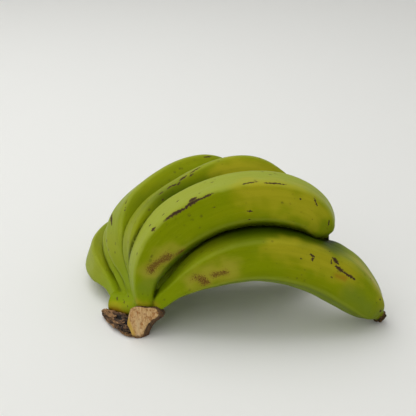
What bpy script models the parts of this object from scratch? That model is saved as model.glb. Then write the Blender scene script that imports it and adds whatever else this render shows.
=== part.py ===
"""A hand of seven green bananas, lying curved side up on its cut crown and two fingers.

The fingers, their stalks and the green flesh that joins them grew as one piece and are one
solid. The dry brown pad where the hand was cut from its stem is the second solid.
Points and sizes are millimetres from the lowest front point of the crown, with +X to the
right, +Y to the back and +Z up. The finished meshes are in metres, with the origin on the
ground in the middle of the hand's footprint.
"""

import bmesh
import bpy
import numpy as np

MM = 0.001

# Driving dimensions
FINGER_RADIUS = 19.0
FOOTPRINT_MIDDLE = (65.7, 76.5)
PAD_GAP = 0.3

# Each finger's middle line from its root in the crown to its tip. The upper row arches high
# and the lower row carries the hand: its front finger stands on its tip, its left one lies.
FINGERS = {
    "upper_1": {"spine": ((7.5, 11, 12), (6.5, 12.5, 37), (18, 22, 60), (50.5, 32, 80),
                          (92, 36, 85), (120, 34, 74), (131.5, 32, 59)),
                "girth": (0.30, 0.42, 0.51, 0.70, 0.86, 0.945, 0.96, 0.93, 0.80, 0.62, 0.45, 0.28, 0.22),
                "roll": 18},
    "upper_2": {"spine": ((5, 17, 14), (5, 21, 32), (7.5, 36, 55),
                          (33.5, 64, 71), (73, 76, 82.5), (115, 76, 62)), "roll": 16},
    "upper_3": {"spine": ((1, 21, 13), (-0.5, 30, 27), (-5.5, 57, 47.5),
                          (15, 94, 62), (48.5, 114, 67), (82, 122, 48)), "roll": 14},
    "upper_4": {"spine": ((-3, 26, 11), (-6, 38, 21), (-11, 79, 33),
                          (4, 116, 40), (26, 136, 37), (48, 148, 18)), "radius": 17.7, "roll": 10},
    "lower_1": {"spine": ((8, 12, 13), (26.5, 9.5, 31.5), (54, 14, 48), (89.5, 18, 53.5),
                          (135, 20, 37), (157, 19.5, 17), (169.5, 18.5, 3.4)),
                "girth": (0.30, 0.35, 0.395, 0.57, 0.79, 0.95, 1.0, 0.98, 0.82, 0.62, 0.44, 0.29, 0.24),
                "roll": 10},
    "lower_2": {"spine": ((5, 20, 13), (10, 30, 26), (30, 48, 39),
                          (62, 60, 42), (98, 66, 30), (124, 68, 8)), "radius": 17.7},
    "lower_3": {"spine": ((-11, 26, 10), (-18, 45, 15.5), (-26.5, 74, 17),
                          (-25.5, 102, 16), (-13, 127, 14), (4, 144, 5)), "radius": 15.2,
                "girth": (0.30, 0.38, 0.43, 0.60, 0.86, 1.0, 1.0, 0.97, 0.84, 0.64, 0.45, 0.28, 0.24)},
}

# Share of a finger's radius at stations from its root to its tip, which ends in a short nub
GIRTH_STATIONS = (0.0, 0.07, 0.13, 0.20, 0.29, 0.42, 0.60, 0.76, 0.87, 0.935, 0.962, 0.976, 1.0)
GIRTH = (0.30, 0.42, 0.51, 0.71, 0.88, 0.96, 0.97, 0.95, 0.80, 0.62, 0.45, 0.28, 0.24)

# Five soft ridges run along a finger, so its corners come in multiples of five
RINGS = 25
CORNERS = 20
RIDGES = 5
RIDGE_SHARPNESS = 8.0
END_CROWDING = 0.10

# Fingers that press on each other part by a narrow slit, and near the crown they fuse
SLIT = 1.0
FUSED_DEPTH = 3.0
CROWN_HEART = (1.0, 18.0, 15.0)
FUSED_WITHIN = 24.0
PARTED_BEYOND = 38.0
THINNEST_PRESSED = 0.4

# The green flesh of the crown and the bark flap: middle line, half widths, half heights
CROWN_FLESH = {
    "spine": ((14, 11, 18), (7, 12.5, 17.5), (0, 17, 15.5), (-8, 23.5, 12), (-18, 30, 10.5)),
    "half_width": (5.5, 8.0, 8.5, 8.0, 7.0),
    "half_height": (5.5, 8.0, 9.0, 8.5, 7.5),
}
BARK_FLAP = {
    "spine": ((-24.5, 28.5, 3), (-17, 20.5, 4.5), (-10, 13, 5.5), (-3, 6.5, 6), (4, 4.5, 7)),
    "half_width": (2.5, 5.0, 6.5, 6.5, 4.0),
    "half_height": (2.5, 4.8, 5.5, 6.0, 4.5),
}
LUMP_RINGS = 15
LUMP_CORNERS = 18
STUB_LENGTH = 0.25
STUB_RINGS = 9

# The knife cut on the crown's front: its outline in its own plane, which leans back a little
CUT_OUTLINE = ((-2, 22.5), (3, 23), (7, 22), (11, 22.5), (14.5, 20.5), (15.5, 18), (14, 15.5),
               (9.5, 12.5), (6.5, 8.5), (4.5, 0.5), (-1, 0.5), (-3.5, 8), (-5, 10.5), (-4, 15),
               (-3, 19.5))
CUT_FOOT = (0.0, -2.5, 0.0)
CUT_LEAN = 9.5
CUT_HEART = (3.0, 14.0)

# Behind the cut the pad swells, then closes: distance back, size, shift right and down
CUT_BLOCK = ((0.0, 1.0, 0.0, 0.0), (1.5, 1.08, 0.8, 0.6), (4.5, 1.15, 2.2, 2.4),
             (9.0, 1.0, 2.0, 2.5), (13.0, 0.7, 0.0, 2.0))

# How tightly a middle line bends at its points, and where the plane of its bend is read
KNOT_SPACING = 0.7
BEND_READ_AT = (0.12, 0.5, 1.0)

# Colour and roughness of the peel and of the dry bark
PEEL_FINISH = ((0.28, 0.36, 0.05), 0.5)
BARK_FINISH = ((0.30, 0.17, 0.08), 0.85)

# How finely curves are read and neighbours are felt for, and the size of slivers to weld
CURVE_STEPS = 801
TANGENT_STEP = 0.01
SKIN_SAMPLES = 61
HALVINGS = 12
WELD = 0.03
CREASE = 50.0


def smooth_line(points, fractions):
    """A natural cubic through the points, read at fractions of its length."""
    knots = np.array(points, float)
    spans = np.linalg.norm(np.diff(knots, axis=0), axis=1) ** KNOT_SPACING
    marks = np.concatenate(([0.0], np.cumsum(spans)))
    last = len(knots) - 1
    system = np.eye(last + 1)
    turning = np.zeros_like(knots)
    for i in range(1, last):
        system[i, i - 1:i + 2] = spans[i - 1], 2 * (spans[i - 1] + spans[i]), spans[i]
        turning[i] = 6 * ((knots[i + 1] - knots[i]) / spans[i] - (knots[i] - knots[i - 1]) / spans[i - 1])
    bend = np.linalg.solve(system, turning)
    fine = np.linspace(0.0, marks[-1], CURVE_STEPS)
    i = np.clip(np.searchsorted(marks, fine, side="right") - 1, 0, last - 1)
    to_next = (marks[i + 1] - fine)[:, None]
    from_last = (fine - marks[i])[:, None]
    span = spans[i][:, None]
    curve = (bend[i] * to_next**3 + bend[i + 1] * from_last**3) / (6 * span)
    curve += (knots[i] / span - bend[i] * span / 6) * to_next
    curve += (knots[i + 1] / span - bend[i + 1] * span / 6) * from_last
    lengths = np.concatenate(([0.0], np.cumsum(np.linalg.norm(np.diff(curve, axis=0), axis=1))))
    wanted = np.asarray(fractions) * lengths[-1]
    return np.stack([np.interp(wanted, lengths, curve[:, k]) for k in range(3)], axis=1)


def smooth_value(fractions, stations, values):
    """A cubic through the values that never swings past them."""
    stations = np.array(stations)
    values = np.array(values)
    spans = np.diff(stations)
    slopes = np.diff(values) / spans
    tilt = np.concatenate((slopes[:1], np.zeros(len(values) - 2), slopes[-1:]))
    for i in range(1, len(values) - 1):
        if slopes[i - 1] * slopes[i] > 0:
            near = 2 * spans[i] + spans[i - 1]
            far = spans[i] + 2 * spans[i - 1]
            tilt[i] = (near + far) / (near / slopes[i - 1] + far / slopes[i])
    i = np.clip(np.searchsorted(stations, fractions, side="right") - 1, 0, len(spans) - 1)
    t = (fractions - stations[i]) / spans[i]
    start = (2 * t**3 - 3 * t**2 + 1) * values[i] + (t**3 - 2 * t**2 + t) * spans[i] * tilt[i]
    return start + (3 * t**2 - 2 * t**3) * values[i + 1] + (t**3 - t**2) * spans[i] * tilt[i + 1]


def crowded_to_ends(count):
    """Fractions from 0 to 1 that lie closer together at both ends."""
    even = np.linspace(0.0, 1.0, count)
    return even - END_CROWDING * np.sin(2 * np.pi * even)


def finger_axis(finger, fractions):
    """Middle line and ring radius of a finger at the fractions of its length."""
    girth = finger.get("girth", GIRTH)
    radius = finger.get("radius", FINGER_RADIUS)
    radii = radius * smooth_value(fractions, GIRTH_STATIONS, girth)
    return smooth_line(finger["spine"], fractions), radii


def finger_rings(finger, fractions, grown=0.0):
    """Rings of a finger with five soft ridges, rolled about its middle line."""
    axis, radii = finger_axis(finger, fractions)
    before = smooth_line(finger["spine"], np.clip(fractions - TANGENT_STEP, 0, 1))
    after = smooth_line(finger["spine"], np.clip(fractions + TANGENT_STEP, 0, 1))
    ahead = (after - before) / np.linalg.norm(after - before, axis=1)[:, None]
    near, middle, tip = smooth_line(finger["spine"], BEND_READ_AT)
    sideways = np.cross(middle - near, tip - middle)
    sideways /= np.linalg.norm(sideways)
    outwards = np.cross(ahead, sideways)
    outwards /= np.linalg.norm(outwards, axis=1)[:, None]
    across = np.cross(ahead, outwards)
    roll = np.radians(finger.get("roll", 0))
    turn = 2 * np.pi * np.arange(CORNERS) / CORNERS + roll
    facings = 2 * np.pi * np.arange(RIDGES) / RIDGES + roll
    sides = np.clip(np.cos(turn[None] - facings[:, None]), 0, None) ** RIDGE_SHARPNESS
    section = sides.sum(axis=0) ** (-1 / RIDGE_SHARPNESS)
    spokes = np.cos(turn)[None, :, None] * outwards[:, None]
    spokes += np.sin(turn)[None, :, None] * across[:, None]
    return axis[:, None] + (radii[:, None] * section[None] + grown)[:, :, None] * spokes


def nearest_skin(points, axis, radii):
    """Distance from each point to a finger's round skin, negative inside it."""
    away = np.linalg.norm(points[:, None] - axis[None], axis=2)
    return (away - radii[None]).min(axis=1)


def wanted_gap(points):
    """The slit between two fingers, turned into an overlap close to the crown."""
    away = np.linalg.norm(points - np.array(CROWN_HEART), axis=1)
    t = np.clip((away - FUSED_WITHIN) / (PARTED_BEYOND - FUSED_WITHIN), 0, 1)
    parted = t * t * (3 - 2 * t)
    return SLIT * parted - FUSED_DEPTH * (1 - parted)


def pressed_rings(name, fractions):
    """Rings of a finger, drawn in where a neighbour presses on it."""
    rings = finger_rings(FINGERS[name], fractions)
    axis, _ = finger_axis(FINGERS[name], fractions)
    centre = np.repeat(axis, CORNERS, axis=0)
    spokes = rings.reshape(-1, 3) - centre
    reach = np.linalg.norm(spokes, axis=1)
    samples = np.linspace(0, 1, SKIN_SAMPLES)
    neighbours = [finger_axis(other, samples) for key, other in FINGERS.items() if key != name]
    share = np.ones(len(spokes))
    for neighbour_axis, neighbour_radii in neighbours:
        low = np.full(len(spokes), THINNEST_PRESSED)
        high = np.ones(len(spokes))
        for _ in range(HALVINGS):
            middle = (low + high) / 2
            points = centre + spokes * middle[:, None]
            spare = nearest_skin(points, neighbour_axis, neighbour_radii) - (middle - 1) * reach
            clear = spare >= wanted_gap(points)
            low = np.where(clear, middle, low)
            high = np.where(clear, high, middle)
        points = centre + spokes
        free = nearest_skin(points, neighbour_axis, neighbour_radii) >= wanted_gap(points)
        share = np.minimum(share, np.where(free, 1.0, low))
    share = softened(share.reshape(len(fractions), CORNERS))
    return axis[:, None] + (rings - axis[:, None]) * share[:, :, None]


def softened(share):
    """Round the edges of the pressed flats, along the finger and around it."""
    along = np.pad(share, ((1, 1), (0, 0)), mode="edge")
    share = (along[:-2] + 2 * along[1:-1] + along[2:]) / 4
    return (np.roll(share, 1, axis=1) + 2 * share + np.roll(share, -1, axis=1)) / 4


def lump_rings(lump, grown=0.0):
    """Oval rings along a lump's middle line, level across and upright."""
    fractions = np.linspace(0, 1, LUMP_RINGS)
    axis = smooth_line(lump["spine"], fractions)
    stations = np.linspace(0, 1, len(lump["spine"]))
    half_width = smooth_value(fractions, stations, lump["half_width"]) + grown
    half_height = smooth_value(fractions, stations, lump["half_height"]) + grown
    ahead = np.gradient(axis, axis=0)
    ahead /= np.linalg.norm(ahead, axis=1)[:, None]
    level = np.cross(ahead, (0.0, 0.0, 1.0))
    level /= np.linalg.norm(level, axis=1)[:, None]
    upright = np.cross(level, ahead)
    turn = 2 * np.pi * np.arange(LUMP_CORNERS) / LUMP_CORNERS
    across = half_width[:, None] * np.cos(turn)[None]
    height = half_height[:, None] * np.sin(turn)[None]
    return axis[:, None] + across[:, :, None] * level[:, None] + height[:, :, None] * upright[:, None]


def add_body(name, rings, on_ground=False):
    """A closed body through the rings, with flat ends, set down on z = 0 where asked."""
    count, corners = rings.shape[:2]
    points = rings.reshape(-1, 3) - np.array((*FOOTPRINT_MIDDLE, 0.0))
    if on_ground:
        points[:, 2] = np.maximum(points[:, 2], 0.0)
    faces = []
    for i in range(count - 1):
        for j in range(corners):
            low = i * corners
            k = (j + 1) % corners
            faces.append((low + j, low + k, low + corners + k, low + corners + j))
    faces.append(tuple(reversed(range(corners))))
    faces.append(tuple(range((count - 1) * corners, count * corners)))
    mesh = bpy.data.meshes.new(name)
    mesh.from_pydata([tuple(p) for p in points * MM], [], faces)
    mesh.validate()
    body = bpy.data.objects.new(name, mesh)
    bpy.context.scene.collection.objects.link(body)
    face_outwards(mesh)
    return body


def face_outwards(mesh):
    """Turn a closed mesh's faces outwards, judged by the sign of its volume."""
    mesh.calc_loop_triangles()
    corners = np.array([[mesh.vertices[i].co[:] for i in t.vertices] for t in mesh.loop_triangles])
    volume = np.einsum("ij,ij->i", corners[:, 0], np.cross(corners[:, 1], corners[:, 2])).sum()
    if volume < 0:
        mesh.flip_normals()


def combine(body, others, operation, solver="EXACT"):
    """Join the other bodies to this one, or cut them from it, and remove them."""
    group = bpy.data.collections.new(operation.lower())
    bpy.context.scene.collection.children.link(group)
    for other in others:
        group.objects.link(other)
        bpy.context.scene.collection.objects.unlink(other)
    step = body.modifiers.new(operation.lower(), "BOOLEAN")
    step.operation = operation
    step.operand_type = "COLLECTION"
    step.collection = group
    step.solver = solver
    bpy.context.view_layer.update()
    seen = body.evaluated_get(bpy.context.evaluated_depsgraph_get())
    mesh = bpy.data.meshes.new_from_object(seen)
    body.modifiers.clear()
    body.data = mesh
    for other in others:
        bpy.data.objects.remove(other)
    bpy.data.collections.remove(group)
    drop_scraps(body.data)


def drop_scraps(mesh):
    """Weld slivers, keep the largest connected body and drop any crumb or sealed bubble."""
    shape = bmesh.new()
    shape.from_mesh(mesh)
    bmesh.ops.remove_doubles(shape, verts=shape.verts, dist=WELD * MM)
    left = set(shape.verts)
    bodies = []
    while left:
        reached = {left.pop()}
        edge_of_search = list(reached)
        while edge_of_search:
            vertex = edge_of_search.pop()
            for edge in vertex.link_edges:
                other = edge.other_vert(vertex)
                if other in left:
                    left.discard(other)
                    reached.add(other)
                    edge_of_search.append(other)
        bodies.append(reached)
    largest = max(bodies, key=len)
    crumbs = [vertex for body in bodies if body is not largest for vertex in body]
    bmesh.ops.delete(shape, geom=crumbs, context="VERTS")
    shape.to_mesh(mesh)
    shape.free()


def block_rings():
    """The pad behind the knife cut, as rings of the cut's outline going back."""
    lean = np.radians(CUT_LEAN)
    up = np.array((0.0, np.sin(lean), np.cos(lean)))
    back = np.array((0.0, np.cos(lean), -np.sin(lean)))
    outline = np.array(CUT_OUTLINE) - CUT_HEART
    rings = []
    for distance, size, right, down in CUT_BLOCK:
        across = outline[:, 0] * size + CUT_HEART[0] + right
        height = outline[:, 1] * size + CUT_HEART[1] - down
        sheet = across[:, None] * np.array((1.0, 0.0, 0.0)) + height[:, None] * up
        rings.append(np.array(CUT_FOOT) + sheet + back * distance)
    return np.array(rings)


def add_material(body, colour, roughness):
    material = bpy.data.materials.new(body.name)
    material.use_nodes = True
    shader = material.node_tree.nodes["Principled BSDF"]
    shader.inputs["Base Color"].default_value = (*colour, 1.0)
    shader.inputs["Roughness"].default_value = roughness
    shader.inputs["Metallic"].default_value = 0.0
    body.data.materials.clear()
    body.data.materials.append(material)


def build_hand():
    """The green solid: seven fingers fused at the crown.

    The exact solver leaves a sliver in the narrow slit between two of the fingers.
    """
    fractions = crowded_to_ends(RINGS)
    fingers = [add_body(name, pressed_rings(name, fractions), on_ground=True) for name in FINGERS]
    hand = add_body("banana_hand", lump_rings(CROWN_FLESH), on_ground=True)
    combine(hand, fingers, "UNION", solver="MANIFOLD")
    add_material(hand, *PEEL_FINISH)
    return hand


def build_pad():
    """The brown solid under the crown: a bark flap and a cut block, shaped to the flesh above."""
    pad = add_body("crown_pad", block_rings(), on_ground=True)
    combine(pad, [add_body("bark_flap", lump_rings(BARK_FLAP), on_ground=True)], "UNION")
    stub = np.linspace(0, STUB_LENGTH, STUB_RINGS)
    cutters = [add_body("flesh_space", lump_rings(CROWN_FLESH, PAD_GAP))]
    for name, finger in FINGERS.items():
        cutters.append(add_body(f"{name}_stub", finger_rings(finger, stub, PAD_GAP)))
    combine(pad, cutters, "DIFFERENCE")
    add_material(pad, *BARK_FINISH)
    return pad


for old in list(bpy.data.objects):
    bpy.data.objects.remove(old, do_unlink=True)

for solid in (build_hand(), build_pad()):
    solid.data.shade_smooth()
    solid.data.set_sharp_from_angle(angle=np.radians(CREASE))
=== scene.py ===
"""Dress a hand of seven green bananas: waxy peel, cut brown crown, pale floor and soft light.

Points and sizes are millimetres from the lowest front point of the crown, with +X to the
right, +Y to the back and +Z up. Meshes are in metres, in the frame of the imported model.
"""

import bpy
import numpy as np
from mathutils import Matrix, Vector, kdtree, noise
from numpy.linalg import norm


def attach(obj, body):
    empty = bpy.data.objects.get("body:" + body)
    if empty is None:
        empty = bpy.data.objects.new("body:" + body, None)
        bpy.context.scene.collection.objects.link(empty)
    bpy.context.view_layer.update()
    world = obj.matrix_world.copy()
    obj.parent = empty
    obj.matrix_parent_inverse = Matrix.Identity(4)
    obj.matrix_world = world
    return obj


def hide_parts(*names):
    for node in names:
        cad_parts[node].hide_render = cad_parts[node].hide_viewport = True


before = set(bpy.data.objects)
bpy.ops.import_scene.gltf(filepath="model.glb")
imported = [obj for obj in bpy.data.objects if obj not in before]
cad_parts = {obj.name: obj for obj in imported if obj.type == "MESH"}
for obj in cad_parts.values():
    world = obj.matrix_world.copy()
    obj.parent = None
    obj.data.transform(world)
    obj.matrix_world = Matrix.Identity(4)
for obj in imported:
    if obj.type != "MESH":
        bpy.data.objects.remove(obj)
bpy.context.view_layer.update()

MM = 0.001
CROWN_FOOT = np.array((-65.7, -76.5, 0.0))

# Each finger: its middle line from its root in the crown to its tip, its largest radius, its
# girth as shares of that radius, and how far its five ridges are rolled, in degrees
FINGER_RADIUS = 19.0
FINGERS = {
    "upper_1": {"spine": ((7.5, 11, 12), (6.5, 12.5, 37), (18, 22, 60), (50.5, 32, 80),
                          (92, 36, 85), (120, 34, 74), (128.5, 30.5, 56.8)),
                "girth": (0.30, 0.42, 0.51, 0.70, 0.86, 0.945, 0.96, 0.94, 0.82, 0.66, 0.50,
                          0.28, 0.18),
                "roll": 18},
    "upper_2": {"spine": ((5, 17, 14), (5, 21, 32), (7.5, 36, 55),
                          (33.5, 64, 71), (73, 76, 82.5), (115, 76, 62)), "roll": 16},
    "upper_3": {"spine": ((1, 21, 13), (-0.5, 30, 27), (-5.5, 57, 47.5),
                          (15, 94, 62), (48.5, 114, 67), (82, 122, 48)), "roll": 14},
    "upper_4": {"spine": ((-3, 26, 11), (-6, 38, 21), (-11, 79, 33),
                          (4, 116, 40), (26, 136, 37), (48, 148, 18)), "radius": 17.7, "roll": 10},
    "lower_1": {"spine": ((8, 12, 13), (26.5, 9.5, 31.5), (54, 14, 48), (89.5, 18, 53.5),
                          (135, 20, 37), (157, 19.5, 17), (169.5, 18.5, 3.4)),
                "girth": (0.30, 0.35, 0.395, 0.57, 0.79, 0.95, 1.0, 0.98, 0.82, 0.62, 0.44,
                          0.29, 0.24),
                "roll": 10},
    "lower_2": {"spine": ((5, 20, 13), (10, 30, 26), (30, 48, 39),
                          (62, 60, 42), (98, 66, 30), (124, 68, 8)), "radius": 17.7},
    "lower_3": {"spine": ((-11, 26, 10), (-18, 45, 15.5), (-26.5, 74, 17),
                          (-25.5, 102, 16), (-13, 127, 14), (4, 144, 5)), "radius": 15.2,
                "girth": (0.30, 0.38, 0.43, 0.60, 0.86, 1.0, 1.0, 0.97, 0.84, 0.64, 0.45,
                          0.28, 0.24)},
}

# The shares of a finger's length at which its girth is given, and the usual girth
GIRTH_STATIONS = (0.0, 0.07, 0.13, 0.20, 0.29, 0.42, 0.60, 0.76, 0.87, 0.935, 0.962, 0.976, 1.0)
GIRTH = (0.30, 0.42, 0.51, 0.71, 0.88, 0.96, 0.97, 0.95, 0.80, 0.62, 0.45, 0.28, 0.24)

# Peel mesh: rings along a finger and corners round it, in multiples of its five ridges
RINGS = 132
CORNERS = 70
RIDGES = 5
RIDGE_SHARPNESS = 11.0
RIDGE_SIZE = 0.985
END_CROWDING = 0.10
CURVE_STEPS = 1201
TANGENT_STEP = 0.006

# Shares of a finger's length: three that span the plane it bends in, and one just before its tip
BEND_SHARES = (0.12, 0.5, 1.0)
BEFORE_TIP = 0.985

# Fingers that press on each other overlap a little until their skins are set in, which leaves
# a narrow slit. Near the heart of the crown they overlap deeply and fuse
SLIT = -0.8
FUSED_DEPTH = 3.0
CROWN_HEART = np.array((1.0, 18.0, 15.0))
FUSED_WITHIN = 18.0
PARTED_BEYOND = 30.0
THINNEST_PRESSED = 0.4
SKIN_SAMPLES = 81
HALVINGS = 10
PRESS_SMOOTHINGS = 6

# The skin is set in, so that its bumps stay inside the box of the solids. Bumps, and crinkles
# on the dry nub, are given by their size and height
SKIN_INSET = 0.7
BUMPS = ((15.0, 0.30), (5.0, 0.10))
CRINKLES = (1.6, 1.1)
NUB_START = 0.972

# The dished end of a finger: share of the last ring's radius, and how far it stands out
TIP_DISH = ((0.86, 0.5), (0.62, -0.4), (0.35, -1.0), (0.12, -1.2))

# The joined skin is drawn smooth around the heart of the crown, fading over these distances
MELT_WITHIN = (12.0, 28.0)
MELT_SHARE = 0.5
MELT_ROUNDS = 36

# Lumps with oval rings: the green flesh of the crown and the withered bark under it
CROWN_FLESH = {
    "spine": ((14, 11, 18), (7, 13, 17.0), (0, 18.5, 13.5), (-8, 25, 10.5), (-18, 30, 10)),
    "half_width": (5.5, 7.5, 8.0, 8.0, 7.0),
    "half_height": (5.5, 7.5, 7.5, 7.5, 7.0),
}
BARK_FLAP = {
    "spine": ((-23.5, 27.0, 2.6), (-17, 20.5, 3.4), (-10, 13, 4.0), (-3, 6.5, 4.6), (4, 4.5, 6)),
    "half_width": (2.5, 5.0, 6.5, 6.5, 4.0),
    "half_height": (2.2, 3.6, 4.1, 4.6, 3.8),
}
LUMP_RINGS = 60
LUMP_CORNERS = 64

# The knife cut: its outline across and up its leaning face, the point it shrinks to, the bark
# behind it as distance, size, shift to the right and shift down, and the sizes of the rings
# that close it
CUT_OUTLINE = ((-2, 22.5), (3, 23), (7, 22), (11, 22.5), (14.5, 20.5), (15.5, 18), (14, 15.5),
               (9.5, 12.5), (6.5, 8.5), (4.5, 0.5), (-1, 0.5), (-3.5, 8), (-5, 10.5), (-4, 15),
               (-3, 19.5))
CUT_FOOT = np.array((0.0, -2.3, 0.0))
CUT_LEAN = 9.5
CUT_HEART = (3.0, 14.0)
CUT_BLOCK = ((0.0, 1.0, 0.0, 0.0), (1.5, 1.08, 1.3, 0.6), (4.5, 1.15, 3.6, 1.8),
             (9.0, 1.0, 3.0, 2.2), (13.0, 0.7, 0.0, 2.0))
CUT_END = (0.4, 0.05)
CUT_END_STEP = 0.2
CUT_CORNERS = 96
CUT_FACE_RINGS = 22
CUT_SIDE_RINGS = 24
FACE_MIDDLE = 0.03
FACE_SINK = 0.25

# Ribs and waves of the cut as size and height, and how much they swell the bark behind it
CUT_RIBS = (1.3, 0.42)
CUT_WAVES = (5.0, 0.35)
SIDE_SWELL = 0.07

# Folds of the bark as length of the tube they are read on, size and depth. The flap's body gets
# painted shade, more so towards the cut, and its torn strips get painted light
FLAP_FOLDS = (5.0, 1.1, 1.3)
STRIP_FOLDS = (4.0, 0.9, 0.6)
FOLD_TUBE = 3.0
FLAP_SHADE = 0.15
FLAP_END_SHADE = 0.5
STRIP_PAINTED_LIGHT = 0.35

# Torn strips of bark on the flap: middle line, half widths and half heights
TORN_STRIPS = (
    (((-24.5, 25.5, 4.5), (-20.5, 20.5, 7.2), (-16.5, 15.5, 6.4), (-13.5, 13, 8.4)),
     (1.2, 1.7, 1.6, 0.9), (0.9, 1.3, 1.2, 0.6)),
    (((-21.0, 21.5, 2.6), (-16.5, 14.5, 4.8), (-11.5, 8.4, 5.9), (-7, 5.5, 8.4)),
     (1.0, 1.3, 1.4, 0.8), (0.8, 1.1, 1.2, 0.6)),
    (((-15.5, 13.5, 2.2), (-11, 7.4, 3.9), (-8.5, 3.8, 2.6), (-5.5, 1.9, 3.2)),
     (0.8, 1.3, 1.2, 0.7), (0.7, 1.0, 1.0, 0.5)),
    (((-12, 8.6, 1.5), (-8, 3.6, 1.6), (-3.5, 0.4, 1.4), (0, -0.6, 1.0)),
     (0.8, 1.2, 1.2, 0.8), (0.5, 0.9, 1.0, 0.5)),
)

# To place grain and marks, fingers are laid straight side by side, this far apart
PLACE_STEP = 100.0

# Old marks on each finger: both ends as mm along it and degrees round it, and half the width
# in mm. On the flesh of the crown both ends are points.
SCARS = {
    "upper_1": (((66.5, 56), (79.5, 60), 1.6), ((80, 58), (89, 56.5), 1.9),
        ((89, 57.5), (97.5, 56), 1.0), ((84, 51), (87, 50), 2.6), ((55.8, 51), (57.6, 51), 2.2),
        ((56, 27), (57.5, 27), 0.8), ((76, 27), (78, 24), 0.6), ((66, 38), (67.5, 38), 0.6),
        ((116, 51), (125, 47.5), 0.8), ((128.5, 51.5), (140.5, 51), 0.85),
        ((116.5, 107), (120, 108), 0.75), ((95, 81), (96, 81), 0.5),
        ((117, 123), (117.8, 123), 0.45), ((157.5, 58), (160.5, 67), 0.55),
        ((150.3, 71), (150.9, 71), 0.5), ((171, 66), (173, 70), 0.6)),
    "upper_2": (((70, 53), (73, 54), 0.8), ((77, 54), (84, 56), 1.0), ((85, 60), (88, 57), 1.1),
        ((89, 54), (96, 52), 1.2), ((97.5, 58), (101, 56), 0.8), ((99, 52), (108, 50), 0.9),
        ((61.5, 40), (62.5, 40), 0.6), ((68, 66), (69.2, 66), 0.6)),
    "upper_3": (((132.5, 59), (136.5, 57), 1.0), ((109.5, 47), (111, 47), 0.7),
        ((63, 47), (66, 47), 0.65), ((58, 53), (59, 53), 0.65), ((53.5, 10), (62, -8), 1.5),
        ((96, -70), (108, -72), 0.7)),
    "upper_4": (((60, -50), (69, -53), 0.9), ((101, 20), (104, 24), 0.8)),
    "lower_1": (((117.3, 57), (119.8, 60), 1.2), ((119.2, 61), (120, 68), 1.2),
        ((112.2, 69), (113, 69), 0.75), ((128.4, 39), (131.7, 60), 0.95),
        ((131, 49), (135.6, 56), 1.5), ((135.2, 61), (141, 64.5), 1.8),
        ((140.5, 64), (149.8, 64), 1.2), ((135.2, 85), (136.6, 86), 0.55),
        ((159.7, 38), (160.5, 38), 0.65), ((174.8, 52), (175.4, 52), 0.65),
        ((174.5, 65), (175.3, 65), 0.6), ((183, 66), (184.5, 68), 1.3),
        ((90, -30), (104, -26), 0.8)),
    "lower_2": (((80, -95), (92, -92), 0.8),),
    "lower_3": (((72, -40), (78, -44), 0.8), ((95, 30), (97, 33), 0.8)),
    "flesh": (((-5.0, 21.6, 19.3), (-5.1, 20.0, 18.8), 0.9),
        ((-5.1, 20.0, 18.8), (-5.6, 13.3, 15.3), 0.5),
        ((-13.9, 24.2, 16.8), (-13.5, 22.3, 15.4), 0.8),
        ((-8.6, 18.4, 16.7), (-8.2, 17.2, 16.0), 0.75),
        ((-9.6, 20.4, 17.6), (-9.4, 19.8, 17.3), 0.55)),
}

# Soft marks, each with its finger: rubbed brown dots, the pale skin round them, yellow
# flushes, dull scuffs and rust
RUBS = (
    ("upper_1", (36.5, 95), (40, 108), 5.2), ("upper_1", (43, 112), (50.5, 119), 4.4),
    ("upper_1", (51, 121), (60, 133), 3.0), ("lower_1", (45, 76), (46.5, 92), 5.4),
    ("lower_1", (46.5, 103), (48.5, 104), 3.6), ("lower_1", (56, 93), (64, 95), 3.2),
    ("lower_3", (84, -8), (93, 4), 3.4), ("upper_3", (84, -75), (90, -66), 3.0),
)
HALOS = (("upper_1", (34, 98), (54, 120), 10.0), ("lower_1", (42, 80), (68, 92), 10.5))
BLUSHES = (
    ("flesh", (-19.2, 19.5, 10.5), (-9.2, 12, 11), 9.5),
    ("upper_1", (11, 50), (10.5, 105), 5.0), ("lower_1", (10.5, 60), (10.5, 75), 4.5),
    ("upper_1", (122, 66), (160, 88), 17.0),
    ("lower_1", (98, 54), (146, 66), 13.0), ("lower_1", (150, 20), (180, 40), 9.0),
    ("upper_2", (122, 80), (150, 80), 14.0),
)
SCUFFS = (("upper_1", (23, 88), (33, 124), 7.5), ("lower_1", (150, 90), (172, 96), 8.0))
RUSTS = (("lower_1", (138, 77), (143.5, 73), 2.8),
         ("flesh", (-18, 22, 7.4), (-6.5, 14, 8.0), 3.6))
MARK_EDGE = (0.1, 1.1)
MARK_RAGS = (6.0, 0.45)

# How pale each finger's top face is, how dark its dry end, and how strongly painted shade turns
# it deep green where another finger shelters it
HABITS_AND_SHADE = {"upper_1": (1.0, 1.0, 0.1), "upper_2": (0.2, 0.6, 0.9), "upper_3": (0.4, 0.6, 0.4),
          "upper_4": (0.4, 0.5, 0.45), "lower_1": (0.1, 0.0, 1.0), "lower_2": (0.4, 0.4, 0.5),
          "lower_3": (0.5, 0.7, 0.2), "flesh": (0.0, 0.0, 0.0)}

# The finger over or in front of each one, and how far the painted shade it throws reaches
SHELTERED_BY = {"upper_2": ("upper_1", 19.0), "upper_3": ("upper_2", 14.0),
                "upper_4": ("upper_3", 14.0), "lower_1": ("upper_1", 22.0),
                "lower_2": ("lower_1", 18.0), "lower_3": ("upper_4", 12.0)}
NO_SHELTER = ("", 4.0)

# Painted shade under a sheltering finger fades from this gap on, and comes and goes at shares of
# the length. Painted shade in creases fades with the gap too, and comes with the distance from
# the heart of the crown. Gaps are measured to a neighbour that is a little swollen
SHELTER_START = 3.0
SHELTER_COMES = (0.25, 0.42)
SHELTER_GOES = (0.66, 0.80)
CREASE_GAPS = (-0.5, 2.0)
CREASE_COMES = (11, 22)
LEAST_CREASE = 0.35
NEIGHBOUR_SWELL = 1.07

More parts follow.
